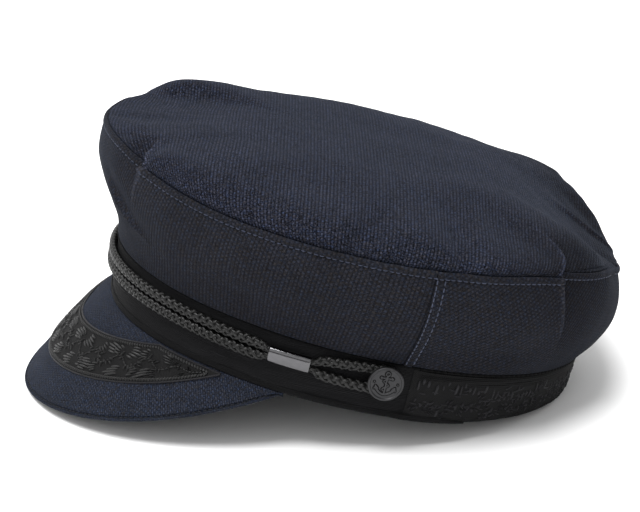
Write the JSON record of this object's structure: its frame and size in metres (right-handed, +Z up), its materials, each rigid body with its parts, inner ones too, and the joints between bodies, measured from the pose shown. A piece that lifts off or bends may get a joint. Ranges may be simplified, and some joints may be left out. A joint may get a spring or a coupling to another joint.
{
  "type": "sailor cap",
  "caption": "Soft canvas sailor cap with a wide stuffed crown, a black band, a curved visor with an embroidered arc, and a braided chin cord held by anchor buttons.",
  "frame": {"origin": "middle of the footprint, on the surface that the cap rests on", "axes": "+Z up; -Y towards the cap's front, where the visor is; +X towards the wearer's left"},
  "size_m": [0.1952, 0.2594, 0.1207],
  "materials": {
    "navy_canvas": "heavy matte canvas with a visible weave",
    "black_band": "matte plain-woven band",
    "black_embroidery": "raised satin-stitch embroidery with a soft sheen",
    "black_cord": "braided cord with a slight gloss",
    "satin_metal": "satin bright metal",
    "dark_button_metal": "matte dark grey lacquered metal"
  },
  "bodies": {
    "root": {"crown_top": "navy_canvas", "panel_front": "navy_canvas", "panel_back": "navy_canvas", "band": "black_band", "band_trim": "black_embroidery", "visor": "navy_canvas", "visor_embroidery": "black_embroidery", "chin_cord": "black_cord", "cord_slide_left": "satin_metal", "cord_slide_right": "satin_metal", "button_left": "dark_button_metal", "button_right": "dark_button_metal"}
  },
  "joints": []
}
